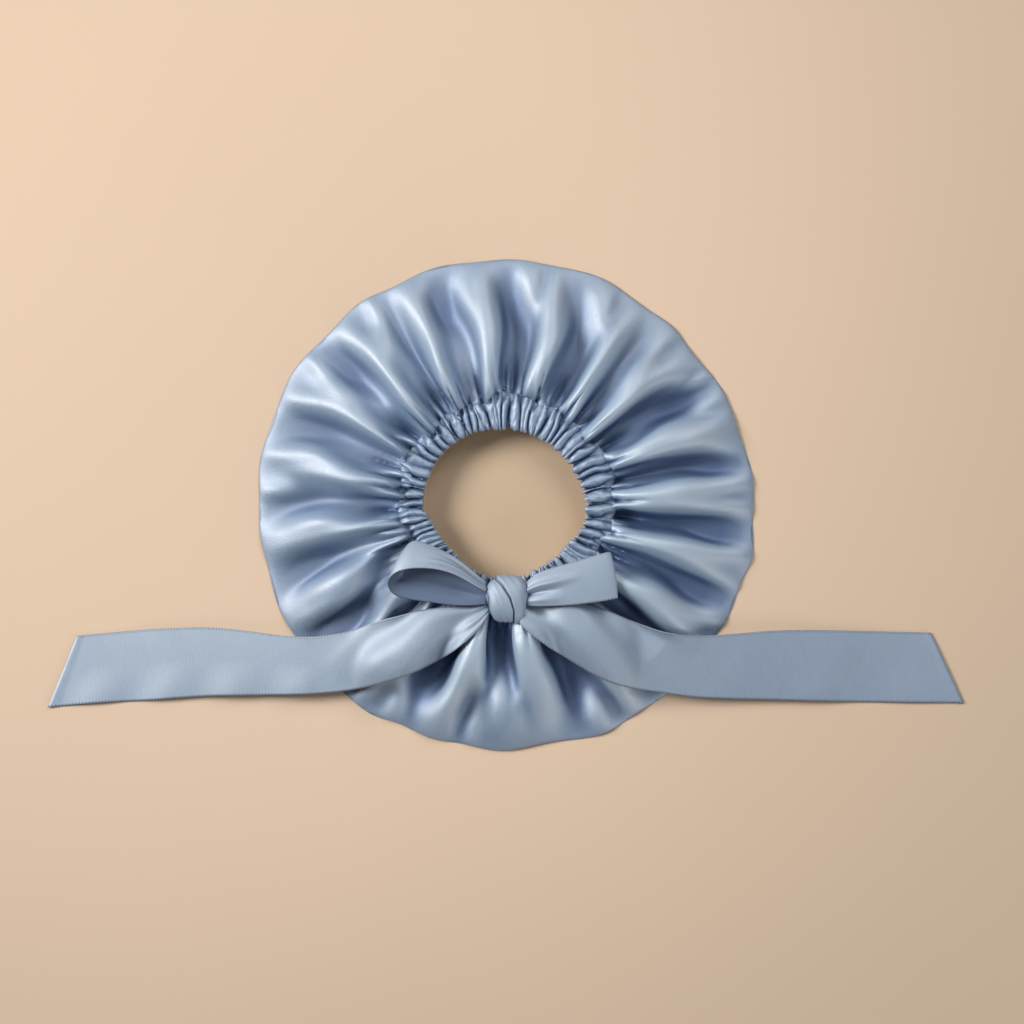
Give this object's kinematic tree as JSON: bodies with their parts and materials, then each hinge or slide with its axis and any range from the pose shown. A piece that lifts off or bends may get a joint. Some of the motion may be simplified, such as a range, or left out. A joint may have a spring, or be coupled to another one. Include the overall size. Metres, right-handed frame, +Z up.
{
  "type": "sleep bonnet",
  "caption": "Satin sleep bonnet lying mouth up: a puffed, gathered crown with a plain lining, a ribbed elastic casing round the mouth and a ribbon bow with long tails.",
  "frame": {"origin": "the middle of the crown's flat resting face, on the surface the bonnet lies on, under the middle of the mouth", "axes": "+Z up out of the mouth, +X along the ribbon tails towards the right-hand one, +Y from the bow across the mouth"},
  "size_m": [0.65, 0.3468, 0.0475],
  "materials": {
    "crown_satin": "glossy grey-blue satin",
    "ribbon_satin": "grey-blue satin ribbon with a fine stitched edge",
    "lining_satin": "plain smooth beige lining"
  },
  "bodies": {
    "root": {"crown": "crown_satin", "lining": "lining_satin", "elastic_casing": "crown_satin", "bow_knot": "ribbon_satin", "bow_loop_left": "ribbon_satin", "bow_loop_right": "ribbon_satin", "tail_left": "ribbon_satin", "tail_right": "ribbon_satin"}
  },
  "joints": []
}
